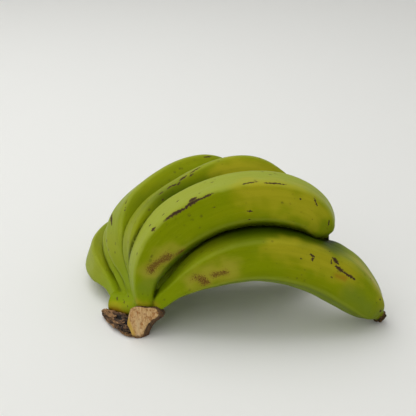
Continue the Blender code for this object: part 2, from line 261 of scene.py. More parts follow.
# Lights as place, width and power, and the strength of the pale room around
KEY_LIGHT = ((-0.55, 0.30, 1.30), 1.4, 10.0)
FILL_LIGHT = ((-0.9, -1.0, 1.0), 1.4, 3.5)
LIT_POINT = (0, 0, 0.04)
ROOM_LIGHT = 0.58

# The round floor in metres: its inner rings, its flat radius, its bend up and its wall
FLOOR_RINGS = (0.02, 0.4, 0.9)
FLOOR_FLAT = 1.6
FLOOR_BEND = 1.0
FLOOR_WALL = 1.2
FLOOR_CORNERS = 96
FLOOR_BEND_RINGS = 12

# The camera, at the photograph's viewing angle
CAMERA_TARGET = np.array((49.28, 131.0, 35.0))
CAMERA_DISTANCE = 650.0
CAMERA_ELEVATION = 25.0
CAMERA_LENS = 70.0


def unit(vectors):
    """Vectors brought to length 1."""
    return vectors / norm(vectors, axis=-1, keepdims=True)


def lengths_along(points):
    """The length of the way along a line of points, up to each of them."""
    return np.concatenate(([0.0], np.cumsum(norm(np.diff(points, axis=0), axis=1))))


def full_turn(count):
    """Angles at even steps once round."""
    return 2 * np.pi * np.arange(count) / count


def smooth_line(points, shares):
    """A natural cubic through the points, read at shares of its length."""
    knots = np.array(points, float)
    spans = norm(np.diff(knots, axis=0), axis=1) ** 0.7
    marks = np.concatenate(([0.0], np.cumsum(spans)))
    last = len(knots) - 1
    system = np.eye(last + 1)
    turning = np.zeros_like(knots)
    for i in range(1, last):
        system[i, i - 1:i + 2] = spans[i - 1], 2 * (spans[i - 1] + spans[i]), spans[i]
        after = (knots[i + 1] - knots[i]) / spans[i]
        turning[i] = 6 * (after - (knots[i] - knots[i - 1]) / spans[i - 1])
    bend = np.linalg.solve(system, turning)
    fine = np.linspace(0.0, marks[-1], CURVE_STEPS)
    i = np.clip(np.searchsorted(marks, fine, side="right") - 1, 0, last - 1)
    to_next = (marks[i + 1] - fine)[:, None]
    from_last = (fine - marks[i])[:, None]
    span = spans[i][:, None]
    curve = (bend[i] * to_next**3 + bend[i + 1] * from_last**3) / (6 * span)
    curve += (knots[i] / span - bend[i] * span / 6) * to_next
    curve += (knots[i + 1] / span - bend[i + 1] * span / 6) * from_last
    lengths = lengths_along(curve)
    wanted = np.asarray(shares) * lengths[-1]
    return np.stack([np.interp(wanted, lengths, curve[:, k]) for k in range(3)], axis=1)


def smooth_value(shares, stations, values):
    """A cubic through the values that never swings past them."""
    stations = np.array(stations, float)
    values = np.array(values, float)
    spans = np.diff(stations)
    slopes = np.diff(values) / spans
    tilt = np.concatenate((slopes[:1], np.zeros(len(values) - 2), slopes[-1:]))
    for i in range(1, len(values) - 1):
        if slopes[i - 1] * slopes[i] > 0:
            near = 2 * spans[i] + spans[i - 1]
            far = spans[i] + 2 * spans[i - 1]
            tilt[i] = (near + far) / (near / slopes[i - 1] + far / slopes[i])
    i = np.clip(np.searchsorted(stations, shares, side="right") - 1, 0, len(spans) - 1)
    t = (shares - stations[i]) / spans[i]
    start = (2 * t**3 - 3 * t**2 + 1) * values[i] + (t**3 - 2 * t**2 + t) * spans[i] * tilt[i]
    return start + (3 * t**2 - 2 * t**3) * values[i + 1] + (t**3 - t**2) * spans[i] * tilt[i + 1]


def smoothstep(low, high, value):
    t = np.clip((value - low) / (high - low), 0, 1)
    return t * t * (3 - 2 * t)


def finger_axis(finger, shares):
    """Middle line and ring radius of a finger at shares of its length."""
    girth = finger.get("girth", GIRTH)
    radius = finger.get("radius", FINGER_RADIUS)
    radii = radius * smooth_value(shares, GIRTH_STATIONS, girth)
    return smooth_line(finger["spine"], shares), radii


def finger_length(finger):
    return lengths_along(smooth_line(finger["spine"], np.linspace(0, 1, CURVE_STEPS)))[-1]


def ring_shares():
    """Where the rings lie along a finger: closer together towards both ends."""
    even = np.linspace(0.0, 1.0, RINGS)
    return even - END_CROWDING * np.sin(2 * np.pi * even)


def five_sided(turn):
    """How far the skin stands off at angles from the middle of a face, on a round of radius 1."""
    away = np.asarray(turn)[..., None] - full_turn(RIDGES)
    sides = np.clip(np.cos(away), 0, None) ** RIDGE_SHARPNESS
    return RIDGE_SIZE * sides.sum(axis=-1) ** (-1 / RIDGE_SHARPNESS)


def five_sided_rings(finger, shares):
    """The middle line of a finger, the directions of its skin from there and how far it is."""
    axis, radii = finger_axis(finger, shares)
    before = smooth_line(finger["spine"], np.clip(shares - TANGENT_STEP, 0, 1))
    after = smooth_line(finger["spine"], np.clip(shares + TANGENT_STEP, 0, 1))
    ahead = unit(after - before)
    near, middle, tip = smooth_line(finger["spine"], BEND_SHARES)
    outwards = unit(np.cross(ahead, unit(np.cross(middle - near, tip - middle))))
    across = np.cross(ahead, outwards)
    even = full_turn(CORNERS)
    turn = even + np.radians(finger.get("roll", 0))
    spokes = np.cos(turn)[None, :, None] * outwards[:, None]
    spokes += np.sin(turn)[None, :, None] * across[:, None]
    return axis, spokes, radii[:, None] * five_sided(even)[None]


def nearest_skin(points, axis, radii):
    """Distance from each point to a finger's round skin, negative inside it."""
    away = norm(points[:, None] - axis[None], axis=2)
    return (away - radii[None]).min(axis=1)


def wanted_gap(points):
    """The gap between two fingers before they are set in, a deep overlap near the crown."""
    away = norm(points - CROWN_HEART, axis=1)
    parted = smoothstep(FUSED_WITHIN, PARTED_BEYOND, away)
    return SLIT * parted - FUSED_DEPTH * (1 - parted)


def pressed_share(name, axis, spokes, reach):
    """The share of its reach that each point of the skin keeps where neighbours press on it."""
    shape = reach.shape
    centre = np.repeat(axis, shape[1], axis=0)
    rays = (spokes * reach[:, :, None]).reshape(-1, 3)
    reach = reach.reshape(-1)
    samples = np.linspace(0, 1, SKIN_SAMPLES)
    share = np.ones(len(rays))
    for key, other in FINGERS.items():
        if key == name:
            continue
        neighbour = finger_axis(other, samples)
        points = centre + rays
        touched = np.flatnonzero(nearest_skin(points, *neighbour) < wanted_gap(points))
        low = np.full(len(touched), THINNEST_PRESSED)
        high = np.ones(len(touched))
        for _ in range(HALVINGS):
            middle = (low + high) / 2
            points = centre[touched] + rays[touched] * middle[:, None]
            spare = nearest_skin(points, *neighbour) + (1 - middle) * reach[touched]
            clear = spare >= wanted_gap(points)
            low = np.where(clear, middle, low)
            high = np.where(clear, high, middle)
        share[touched] = np.minimum(share[touched], low)
    share = share.reshape(shape)
    for _ in range(PRESS_SMOOTHINGS):
        along = np.pad(share, ((1, 1), (0, 0)), mode="edge")
        share = (along[:-2] + 2 * along[1:-1] + along[2:]) / 4
        share = (np.roll(share, 1, axis=1) + 2 * share + np.roll(share, -1, axis=1)) / 4
    return share


def uneven(points, size, height):
    """Smooth bumps of about that size and height at each point."""
    return height * np.array([noise.noise(Vector(point) / size) for point in points])


def finger_skin(name, number):
    """Skin points of a finger, with their place on the finger laid straight and their side."""
    finger = FINGERS[name]
    shares = ring_shares()
    axis, spokes, reach = five_sided_rings(finger, shares)
    reach = reach * pressed_share(name, axis, spokes, reach)
    roll = np.radians(finger.get("roll", 0))
    turn = full_turn(CORNERS) + roll
    along = np.repeat(shares, CORNERS).reshape(reach.shape)
    around = np.tile(turn, (len(shares), 1))
    before_tip, tip = smooth_line(finger["spine"], (BEFORE_TIP, 1.0))
    ahead = unit(tip - before_tip)
    for size, depth in TIP_DISH:
        axis = np.vstack((axis, axis[RINGS - 1] + ahead * depth))
        spokes = np.concatenate((spokes, spokes[-1:]))
        reach = np.concatenate((reach, reach[RINGS - 1:RINGS] * size))
        along = np.concatenate((along, np.ones((1, CORNERS))))
        around = np.concatenate((around, turn[None]))
    travelled = along * finger_length(finger)
    place = np.stack((np.cos(around) * reach, np.sin(around) * reach, travelled), axis=2)
    place[:, :, 0] += PLACE_STEP * number
    flat_place = place.reshape(-1, 3)
    bumps = sum(uneven(flat_place, *bump) for bump in BUMPS)
    crinkles = uneven(flat_place * (1.0, 1.0, 0.3), *CRINKLES)
    dry = smoothstep(NUB_START, 1.0, along)
    reach = reach + (bumps.reshape(reach.shape) - SKIN_INSET) * smoothstep(0, 4, reach)
    reach = reach + crinkles.reshape(reach.shape) * dry * smoothstep(0, 3, reach)
    ridge = -np.cos(RIDGES * (around - roll))
    side = np.stack((along, np.cos(around - roll), ridge), axis=2)
    points = axis[:, None] + spokes * reach[:, :, None]
    return points, place, side


def lump_skin(lump):
    """Oval rings along a lump's middle line, level across and upright."""
    shares = np.linspace(0, 1, LUMP_RINGS)
    axis = smooth_line(lump["spine"], shares)
    stations = np.linspace(0, 1, len(lump["spine"]))
    half_width = smooth_value(shares, stations, lump["half_width"])
    half_height = smooth_value(shares, stations, lump["half_height"])
    ahead = unit(np.gradient(axis, axis=0))
    level = unit(np.cross(ahead, (0.0, 0.0, 1.0)))
    upright = np.cross(level, ahead)
    turn = full_turn(LUMP_CORNERS)
    across = half_width[:, None] * np.cos(turn)[None]
    height = half_height[:, None] * np.sin(turn)[None]
    sideways = across[:, :, None] * level[:, None]
    return axis[:, None] + sideways + height[:, :, None] * upright[:, None]


def new_object(name, data):
    thing = bpy.data.objects.new(name, data)
    bpy.context.scene.collection.objects.link(thing)
    return thing


def ring_faces(count, corners):
    """The faces between rings of points that follow one another."""
    faces = []
    for low in range(0, (count - 1) * corners, corners):
        for j in range(corners):
            k = (j + 1) % corners
            faces.append((low + j, low + k, low + corners + k, low + corners + j))
    return faces


def mesh_points(mesh):
    points = np.empty(len(mesh.vertices) * 3)
    mesh.vertices.foreach_get("co", points)
    return points.reshape(-1, 3)


def closed_mesh(name, rings):
    """A closed object through the rings, resting on the floor where it reaches it."""
    count, corners = rings.shape[:2]
    points = rings.reshape(-1, 3) + CROWN_FOOT
    points[:, 2] = np.maximum(points[:, 2], 0.0)
    faces = ring_faces(count, corners)
    faces.append(tuple(reversed(range(corners))))
    faces.append(tuple(range((count - 1) * corners, count * corners)))
    mesh = bpy.data.meshes.new(name)
    mesh.from_pydata([tuple(point) for point in points * MM], [], faces)
    mesh.calc_loop_triangles()
    corner_numbers = [triangle.vertices[:] for triangle in mesh.loop_triangles]
    triangles = mesh_points(mesh)[np.array(corner_numbers)]
    normals = np.cross(triangles[:, 1], triangles[:, 2])
    if np.einsum("ij,ij->i", triangles[:, 0], normals).sum() < 0:
        mesh.flip_normals()
    return new_object(name, mesh)


def united(piece, others):
    """Join the other bodies to this one in one closed skin."""
    group = bpy.data.collections.new("to_join")
    bpy.context.scene.collection.children.link(group)
    for other in others:
        group.objects.link(other)
        bpy.context.scene.collection.objects.unlink(other)
    step = piece.modifiers.new("join", "BOOLEAN")
    step.operation = "UNION"
    step.operand_type = "COLLECTION"
    step.collection = group
    step.solver = "MANIFOLD"
    bpy.context.view_layer.update()
    seen = piece.evaluated_get(bpy.context.evaluated_depsgraph_get())
    mesh = bpy.data.meshes.new_from_object(seen)
    piece.modifiers.clear()
    mesh.materials.clear()
    piece.data = mesh
    for other in others:
        bpy.data.objects.remove(other)
    bpy.data.collections.remove(group)


def relaxed(mesh, points, share, rounds):
    """Points drawn towards the middle of their neighbours, by the share at each."""
    edges = np.empty(len(mesh.edges) * 2, int)
    mesh.edges.foreach_get("vertices", edges)
    a, b = edges.reshape(-1, 2).T
    count = np.bincount(edges, minlength=len(points))[:, None]
    for _ in range(rounds):
        total = np.zeros_like(points)
        np.add.at(total, a, points[b])
        np.add.at(total, b, points[a])
        points = points + (total / count - points) * share[:, None]
    return points


def write_attribute(mesh, name, values):
    layer = mesh.attributes.new(name, "FLOAT_VECTOR", "POINT")
    layer.data.foreach_set("vector", np.asarray(values, np.float32).reshape(-1))


def crease_depth(points, owner):
    """How deep each point lies in the slit beside a finger, and how near to one over it."""
    samples = np.linspace(0, 1, SKIN_SAMPLES)
    depth = np.zeros(len(points))
    nearness = np.zeros(len(points))
    shelters = [SHELTERED_BY.get(name, NO_SHELTER) for name in (*FINGERS, "flesh")]
    sheltered_by, far = (np.array(values)[owner] for values in zip(*shelters))
    for number, (name, finger) in enumerate(FINGERS.items()):
        axis, radii = finger_axis(finger, samples)
        other = np.flatnonzero((owner != number) & (owner < len(FINGERS)))
        gap = nearest_skin(points[other], axis, radii * NEIGHBOUR_SWELL)
        depth[other] = np.maximum(depth[other], 1 - smoothstep(*CREASE_GAPS, gap))
        covered = sheltered_by[other] == name
        nearness[other] += (1 - smoothstep(SHELTER_START, far[other], gap)) * covered
    return depth, nearness


def nearest_points(points, wanted):
    """The number of the point that lies nearest to each wanted one."""
    finder = kdtree.KDTree(len(points))
    for i, point in enumerate(points):
        finder.insert(point, i)
    finder.balance()
    return np.array([finder.find(point)[1] for point in wanted])


def mark_peel(mesh, points, away, places, sides):
    """Write where each peel point lies on a finger, its marks and its painted shade."""
    owner = np.round(places[:, 0] / PLACE_STEP).astype(int)
    habits_and_shade = np.array([HABITS_AND_SHADE[name] for name in (*FINGERS, "flesh")])[owner]
    parted = smoothstep(*CREASE_COMES, away)
    crease, shelter_shade = (depth * parted for depth in crease_depth(points, owner))
    crease *= LEAST_CREASE + (1 - LEAST_CREASE) * habits_and_shade[:, 2]
    along = sides[:, 0]
    shelter_shade *= smoothstep(*SHELTER_COMES, along) * (1 - smoothstep(*SHELTER_GOES, along))
    # The third value per finger becomes the strength of its painted shade under a neighbour
    habits_and_shade[:, 2] *= shelter_shade
    tints = [soft_marks(places, marks) for marks in (BLUSHES, SCUFFS, HALOS)]
    wear_and_shade = [soft_marks(places, marks) for marks in (RUBS, RUSTS)]
    write_attribute(mesh, "place", places)
    write_attribute(mesh, "tints", np.stack(tints, axis=1))
    # Rubs and rust are real wear; the crease beside them is painted shade in the slits between
    # fingers
    write_attribute(mesh, "wear_and_shade", np.stack((*wear_and_shade, crease), axis=1))
    write_attribute(mesh, "habit_and_shade", habits_and_shade)
    write_attribute(mesh, "side", sides)


def make_hand():
    """The peel of all seven fingers and the green flesh of the crown, grown together."""
    fingers = []
    points, places, sides = [], [], []
    for number, name in enumerate(FINGERS):
        skin, place, side = finger_skin(name, number)
        fingers.append(closed_mesh(name, skin))
        points.append(skin.reshape(-1, 3))
        places.append(place.reshape(-1, 3))
        sides.append(side.reshape(-1, 3))
    flesh = lump_skin(CROWN_FLESH)
    hand = closed_mesh("banana_hand_peel", flesh)
    flesh = flesh.reshape(-1, 3)
    points.append(flesh)
    places.append(flesh + (PLACE_STEP * len(FINGERS), 0, 0))
    sides.append(np.tile((0.0, 0.0, -1.0), (len(flesh), 1)))
    united(hand, fingers)
    found = mesh_points(hand.data) / MM - CROWN_FOOT
    nearest = nearest_points(np.vstack(points), found)
    away = norm(found - CROWN_HEART, axis=1)
    share = MELT_SHARE * (1 - smoothstep(*MELT_WITHIN, away))
    found = relaxed(hand.data, found, share, MELT_ROUNDS)
    hand.data.vertices.foreach_set("co", ((found + CROWN_FOOT) * MM).reshape(-1))
    mark_peel(hand.data, found, away, np.vstack(places)[nearest], np.vstack(sides)[nearest])
    hand.data.shade_smooth()
    return hand


def shade(red, green, blue):
    """A colour given as it is seen on a screen, from 0 to 255, for a shader."""
    seen = np.array((red, green, blue)) / 255
    linear = np.where(seen <= 0.04045, seen / 12.92, ((seen + 0.055) / 1.055) ** 2.4)
    return (*linear, 1.0)


def add(tree, kind, inputs=(), **settings):
    """Add a node, set its options and feed its inputs with sockets or plain values."""
    node = tree.nodes.new("ShaderNode" + kind)
    for key, value in settings.items():
        setattr(node, key, value)
    for key, value in dict(inputs).items():
        if isinstance(value, bpy.types.NodeSocket):
            tree.links.new(value, node.inputs[key])
        else:
            node.inputs[key].default_value = value
    return node


def maths(tree, operation, a, b=0.0):
    return add(tree, "Math", {0: a, 1: b}, operation=operation).outputs[0]


def times(tree, a, b):
    return maths(tree, "MULTIPLY", a, b)


def arrows(tree, operation, a, b):
    node = add(tree, "VectorMath", {0: a, 1: b}, operation=operation)
    return node.outputs["Value" if operation in ("DOT_PRODUCT", "DISTANCE") else "Vector"]


def fade(tree, value, low, high, start=0.0, end=1.0):
    """A value eased from start to end while the input goes from low to high."""
    inputs = {"Value": value, "From Min": low, "From Max": high, "To Min": start, "To Max": end}
    return add(tree, "MapRange", inputs, interpolation_type="SMOOTHSTEP").outputs["Result"]


def mixed(tree, share, first, second):
    node = add(tree, "Mix", {0: share, 6: first, 7: second}, data_type="RGBA")
    return node.outputs[2]


def tinted(tree, colour, mask, strength, tint):
    """The colour with a tint laid over it by the mask, up to a strength."""
    return mixed(tree, times(tree, mask, strength), colour, tint)


def shaded(tree, colour, value, low, high, strength, tint):
    """The same with a mask that is eased in while a value goes from low to high."""
    return mixed(tree, fade(tree, value, low, high, 0.0, strength), colour, tint)


def grain(tree, place, scale, detail, roughness=0.5):
    inputs = {"Vector": place, "Scale": scale, "Detail": detail, "Roughness": roughness}
    return add(tree, "TexNoise", inputs).outputs["Fac"]


def read_attribute(tree, name):
    return add(tree, "Attribute", attribute_name=name).outputs["Vector"]


def parts(tree, vector):
    """The three values of a vector."""
    return add(tree, "SeparateXYZ", {0: vector}).outputs


def new_material(name):
    material = bpy.data.materials.new(name)
    material.use_nodes = True
    tree = material.node_tree
    return material, tree, tree.nodes["Principled BSDF"]


def new_group(name, inputs, output):
    """A shader node group with named inputs, each with its kind, and one named value output."""
    group = bpy.data.node_groups.new(name, "ShaderNodeTree")
    for label, kind in inputs.items():
        group.interface.new_socket(name=label, in_out="INPUT", socket_type="NodeSocket" + kind)
    group.interface.new_socket(name=output, in_out="OUTPUT", socket_type="NodeSocketFloat")
    source = group.nodes.new("NodeGroupInput").outputs
    result = group.nodes.new("NodeGroupOutput").inputs[output]
    return group, source, result


def placed(tree, group, **inputs):
    return add(tree, "Group", inputs, node_tree=group).outputs[0]


def dress(tree, surface, colour, roughness, sheen, relief, strength, depth):
    """Feed a finish to its surface, with the relief as a bump of some strength and depth."""
    tree.links.new(colour, surface.inputs["Base Color"])
    tree.links.new(roughness, surface.inputs["Roughness"])
    surface.inputs["Specular IOR Level"].default_value = sheen
    bump = add(tree, "Bump", {"Strength": strength, "Distance": depth, "Height": relief})
    tree.links.new(bump.outputs["Normal"], surface.inputs["Normal"])


def fibre_group():
    """Fine streaks that run along an axis: stretch is how often they change along each axis."""
    inputs = {"Place": "Vector", "Stretch": "Vector", "Detail": "Float"}
    group, source, result = new_group("fibres", inputs, "Streak")
    stretched = arrows(group, "MULTIPLY", source["Place"], source["Stretch"])
    group.links.new(grain(group, stretched, 1.0, source["Detail"], 0.6), result)
    return group


def speckle_group():
    """Round specks scattered in cells of one size, of which only a share holds a speck."""
    inputs = {"Place": "Vector", "Cell": "Float", "Share": "Float"}
    group, source, result = new_group("speckles", inputs, "Mask")
    scale = maths(group, "DIVIDE", 1.0, source["Cell"])
    cells = add(group, "TexVoronoi", {"Vector": source["Place"], "Scale": scale})
    draw = add(group, "SeparateColor", {0: cells.outputs["Color"]}).outputs
    radius = fade(group, draw["Green"], 0.0, 1.0, 0.12, 0.42)
    held = maths(group, "LESS_THAN", draw["Red"], source["Share"])
    reach = times(group, radius, held)
    inner = times(group, reach, 0.5)
    outer = maths(group, "ADD", reach, 0.001)
    group.links.new(fade(group, cells.outputs["Distance"], outer, inner), result)
    return group


def scar_group():
    """A mark along a line from start to end, thinner at its ends and frayed at its edge."""
    inputs = {"Place": "Vector", "Start": "Vector", "End": "Vector", "Width": "Float",
              "Fray": "Float"}
    group, source, result = new_group("scar", inputs, "Mask")
    line = arrows(group, "SUBTRACT", source["End"], source["Start"])
    away = arrows(group, "SUBTRACT", source["Place"], source["Start"])
    travelled = arrows(group, "DOT_PRODUCT", away, line)
    share = maths(group, "DIVIDE", travelled, arrows(group, "DOT_PRODUCT", line, line))
    share = add(group, "Clamp", {0: share}).outputs[0]
    scaled = add(group, "VectorMath", {0: line, "Scale": share}, operation="SCALE").outputs[0]
    distance = arrows(group, "DISTANCE", away, scaled)
    distance = maths(group, "ADD", distance, source["Fray"])
    off_middle = maths(group, "ABSOLUTE", maths(group, "SUBTRACT", share, 0.5))
    taper = fade(group, off_middle, 0.1, 0.5, 1.0, 0.55)
    width = times(group, source["Width"], taper)
    group.links.new(fade(group, distance, width, times(group, width, 0.3)), result)
    return group


def skin_place(name, along, angle):
    """The place of a point of a finger's skin, on the finger laid straight."""
    finger = FINGERS[name]
    share = np.array([along / finger_length(finger)])
    turn = np.radians(angle)
    reach = finger_axis(finger, share)[1][0] * five_sided(turn - np.radians(finger.get("roll", 0)))
    first = PLACE_STEP * list(FINGERS).index(name)
    return first + reach * np.cos(turn), reach * np.sin(turn), along


def mark_ends(name, start, end):
    """Both ends of a mark as places."""
    if name == "flesh":
        return tuple(np.add(point, (PLACE_STEP * len(FINGERS), 0, 0)) for point in (start, end))
    return skin_place(name, *start), skin_place(name, *end)


def all_scars(tree, group, place, fray):
    """The masks of all scars as one."""
    total = 0.0
    for name, marks in SCARS.items():
        for start, end, width in marks:
            start, end = (tuple(point) for point in mark_ends(name, start, end))
            mask = placed(tree, group, Place=place, Start=start, End=end, Width=width, Fray=fray)
            total = maths(tree, "MAXIMUM", total, mask)
    return total


def soft_marks(places, marks):
    """How strongly each place is touched by large soft marks, with uneven edges."""
    total = np.zeros(len(places))
    ragged = uneven(places, *MARK_RAGS)
    for name, start, end, width in marks:
        start, end = (np.array(point) for point in mark_ends(name, start, end))
        line = end - start
        share = np.clip((places - start) @ line / (line @ line), 0, 1)
        away = norm(places - start - share[:, None] * line, axis=1)
        total = np.maximum(total, 1 - smoothstep(*MARK_EDGE, away / width + ragged))
    return total


def green_peel(fibres, speckles, scar):
    """Waxy unripe peel: a pale top face, olive flanks, fresh stalks, dry tips and old marks."""
    material, tree, surface = new_material("green_peel")
    place = read_attribute(tree, "place")
    along, facing, ridge = parts(tree, read_attribute(tree, "side"))
    fine = placed(tree, fibres, Place=place, Stretch=(0.9, 0.9, 0.45), Detail=3.0)
    streak = placed(tree, fibres, Place=place, Stretch=(0.35, 0.35, 0.02), Detail=3.0)
    thread = placed(tree, fibres, Place=place, Stretch=(1.6, 1.6, 0.05), Detail=2.0)
    cloud = grain(tree, place, 0.03, 2.0)
    patch = grain(tree, place, 0.11, 3.0)
    rough = grain(tree, place, 0.9, 3.0, 0.6)
    thin_fray = fade(tree, rough, 0.3, 0.7, -0.5, 0.4)
    blush, scuff, halo = parts(tree, read_attribute(tree, "tints"))
    rub, rust, crease = parts(tree, read_attribute(tree, "wear_and_shade"))
    paleness, char, shelter_shade = parts(tree, read_attribute(tree, "habit_and_shade"))

    # The clean peel: green to olive, fresh near the crown, a pale band along the top face
    colour = mixed(tree, fade(tree, cloud, 0.40, 0.66, 0.0, 0.45), PEEL_GREEN, PEEL_OLIVE)
    colour = shaded(tree, colour, facing, 0.15, -0.5, 0.6, PEEL_DEEP)
    colour = shaded(tree, colour, facing, -0.5, -0.85, 0.8, PEEL_FRESH)
    colour = shaded(tree, colour, streak, 0.35, 0.75, 0.35, PEEL_STREAK)
    colour = shaded(tree, colour, thread, 0.5, 0.8, 0.18, PEEL_PALE)
    colour = shaded(tree, colour, fine, 0.55, 0.75, 0.30, PEEL_DEEP)
    edge = maths(tree, "ADD", facing, fade(tree, patch, 0.2, 0.8, -0.03, 0.03))
    band = times(tree, fade(tree, edge, 0.74, 0.86, 0.0, 0.75), paleness)
    colour = mixed(tree, band, colour, PEEL_PALE)
    # Painted highlight: paler along the five ridges
    colour = shaded(tree, colour, ridge, 0.86, 1.0, 0.28, PEEL_PALE)
    # Painted shade: deep green where a neighbouring finger lies over or in front
    colour = tinted(tree, colour, shelter_shade, 0.95, PEEL_SHELTER_SHADE)
    colour = shaded(tree, colour, along, 0.24, 0.09, 0.7, PEEL_FRESH)
    flush = times(tree, blush, fade(tree, streak, 0.3, 0.7, 0.8, 0.6))
    colour = mixed(tree, flush, colour, PEEL_BLUSH)
    tip = maths(tree, "ADD", along, fade(tree, patch, 0.2, 0.8, -0.02, 0.02))
    tip = fade(tree, tip, 0.90, 0.965)
    colour = tinted(tree, colour, tip, 0.55, PEEL_TIP)

    # Scuffs, rubbed dots on their pale ground, and rust
    colour = tinted(tree, colour, scuff, 0.5, PEEL_SCUFF)
    colour = tinted(tree, colour, halo, 0.6, PEEL_HALO)
    dots = placed(tree, speckles, Place=place, Cell=0.9, Share=0.6)
    worn = maths(tree, "ADD", grain(tree, place, 1.7, 3.0), times(tree, rub, 0.30))
    rub_dots = times(tree, rub, dots)
    rub_dots = maths(tree, "MAXIMUM", rub_dots, fade(tree, worn, 0.64, 0.82))
    colour = tinted(tree, colour, rub, 0.5, RUB_GROUND)
    colour = tinted(tree, colour, rub_dots, 0.85, RUB_BROWN)
    colour = tinted(tree, colour, rust, 0.65, RUST)

    # Small specks, more of them at the tip, and dark scars with a browner rim
    specks = placed(tree, speckles, Place=place, Cell=3.6, Share=0.4)
    specks = times(tree, specks, fade(tree, patch, 0.42, 0.60))
    tip_specks = placed(tree, speckles, Place=place, Cell=1.7, Share=0.6)
    specks = maths(tree, "MAXIMUM", specks, times(tree, tip_specks, tip))
    specks = times(tree, specks, fade(tree, fine, 0.3, 0.55))
    colour = tinted(tree, colour, specks, 0.6, SPECK_BROWN)
    scars = all_scars(tree, scar, place, thin_fray)
    colour = shaded(tree, colour, scars, 0.0, 0.6, 0.75, SCAR_RIM)
    colour = shaded(tree, colour, scars, 0.4, 1.0, 0.95, SCAR_DARK)

    # The dry nub, and painted shade in the slits between fingers
    dry = maths(tree, "ADD", along, fade(tree, fine, 0.2, 0.8, -0.006, 0.006))
    dry = fade(tree, dry, 0.977, 0.984)
    husk = mixed(tree, fade(tree, fine, 0.42, 0.62), NUB_DARK, NUB_BROWN)
    husk = tinted(tree, husk, char, 0.85, NUB_DARK)
    colour = mixed(tree, dry, colour, husk)
    colour = tinted(tree, colour, crease, 0.85, PEEL_SHADOW)

    roughness = fade(tree, streak, 0.3, 0.7, 0.42, 0.52)
    rough_marks = maths(tree, "MAXIMUM", maths(tree, "MAXIMUM", scars, rub_dots), dry)
    roughness = maths(tree, "ADD", roughness, times(tree, rough_marks, 0.3))
    relief = times(tree, thread, 0.35)
    relief = maths(tree, "ADD", relief, times(tree, fine, 0.25))
    relief = maths(tree, "SUBTRACT", relief, times(tree, specks, 0.3))
    dress(tree, surface, colour, roughness, 0.13, relief, 0.35, 0.0004)
    surface.inputs["Specular Tint"].default_value = SHEEN_TINT
    return material


def cut_flesh(fibres, speckles):
    """The knife cut: pale fibres on the dry tan face, golden at its left rim, brown outside."""
    material, tree, surface = new_material("cut_flesh")
    spot = read_attribute(tree, "spot")
    across, up, depth = parts(tree, spot)
    coarse = placed(tree, fibres, Place=spot, Stretch=(0.55, 0.09, 0.5), Detail=3.0)
    hair = placed(tree, fibres, Place=spot, Stretch=(2.2, 0.25, 1.0), Detail=3.0)
    blot = grain(tree, spot, 0.30, 4.0, 0.6)
    colour = mixed(tree, fade(tree, coarse, 0.40, 0.60), CUT_TAN, CUT_PALE)
    colour = shaded(tree, colour, hair, 0.48, 0.60, 0.8, CUT_CREAM)
    colour = shaded(tree, colour, blot, 0.50, 0.62, 0.75, CUT_BROWN)
    middle = maths(tree, "ABSOLUTE", maths(tree, "SUBTRACT", across, 2.5))
    cream = times(tree, fade(tree, middle, 2.5, 0.4), fade(tree, up, 18.0, 12.0))
    colour = tinted(tree, colour, cream, 0.5, CUT_CREAM)
    slant = maths(tree, "ADD", across, fade(tree, up, 0.0, 20.0, -2.0, 3.0))
    colour = shaded(tree, colour, slant, -0.6, -2.4, 0.75, CUT_GOLD)
    wavy = maths(tree, "ADD", up, fade(tree, blot, 0.3, 0.7, -1.5, 1.5))
    colour = shaded(tree, colour, wavy, 3.5, 1.0, 0.9, BARK_BROWN)
    bark = mixed(tree, fade(tree, coarse, 0.35, 0.6), BARK_DARK, BARK_BROWN)
    bark = shaded(tree, bark, hair, 0.5, 0.75, 0.6, BARK_TAN)
    sunk = maths(tree, "ADD", depth, fade(tree, blot, 0.3, 0.7, -0.35, 0.35))
    colour = shaded(tree, colour, sunk, 0.35, 1.0, 1.0, bark)
    specks = placed(tree, speckles, Place=spot, Cell=1.4, Share=0.35)
    colour = tinted(tree, colour, specks, 0.5, CUT_BROWN)
    roughness = fade(tree, coarse, 0.3, 0.7, 0.72, 0.9)
    relief = maths(tree, "ADD", hair, times(tree, coarse, 0.8))
    dress(tree, surface, colour, roughness, 0.25, relief, 0.6, 0.0006)
    return material


def withered_bark(fibres, speckles):
    """Dry folded bark: near-black painted shade in creases, tan painted highlights on folds."""
    material, tree, surface = new_material("withered_bark")
    fold = read_attribute(tree, "fold")
    height = parts(tree, fold)[0]
    place = arrows(tree, "MULTIPLY", add(tree, "TexCoord").outputs["Object"], (1000, 1000, 1000))
    lines = placed(tree, fibres, Place=fold, Stretch=(0.0, 0.10, 3.0), Detail=4.0)
    blot = grain(tree, place, 0.45, 4.0, 0.65)
    colour = mixed(tree, fade(tree, lines, 0.35, 0.65), BARK_DARK, BARK_BROWN)
    # Painted light from the folds' height: tan highlights where they stand up, near-black shade in
    # creases
    lifted = maths(tree, "ADD", height, fade(tree, blot, 0.3, 0.7, -0.35, 0.35))
    colour = shaded(tree, colour, lifted, 0.15, 0.75, 0.85, BARK_TAN)
    colour = shaded(tree, colour, lifted, -0.1, -0.7, 1.0, BARK_BLACK)
    flecks = placed(tree, speckles, Place=place, Cell=1.8, Share=0.4)
    colour = tinted(tree, colour, flecks, 0.5, BARK_TAN)
    roughness = fade(tree, blot, 0.3, 0.7, 0.7, 0.92)
    relief = maths(tree, "ADD", lines, times(tree, blot, 0.7))
    dress(tree, surface, colour, roughness, 0.3, relief, 0.8, 0.0007)
    return material


def rounded_outline(points, count):
    """A closed outline through the points with soft corners, at even steps."""
    corners = np.array(points, float)
    after = np.roll(corners, -1, axis=0)
    finer = [corners * 0.75 + after * 0.25, corners * 0.25 + after * 0.75]
    finer = np.concatenate(finer, axis=1).reshape(-1, 2)
    looped = np.vstack((finer, finer[:1]))
    lengths = lengths_along(looped)
    wanted = np.linspace(0, lengths[-1], count, endpoint=False)
    return np.stack([np.interp(wanted, lengths, looped[:, k]) for k in range(2)], axis=1)


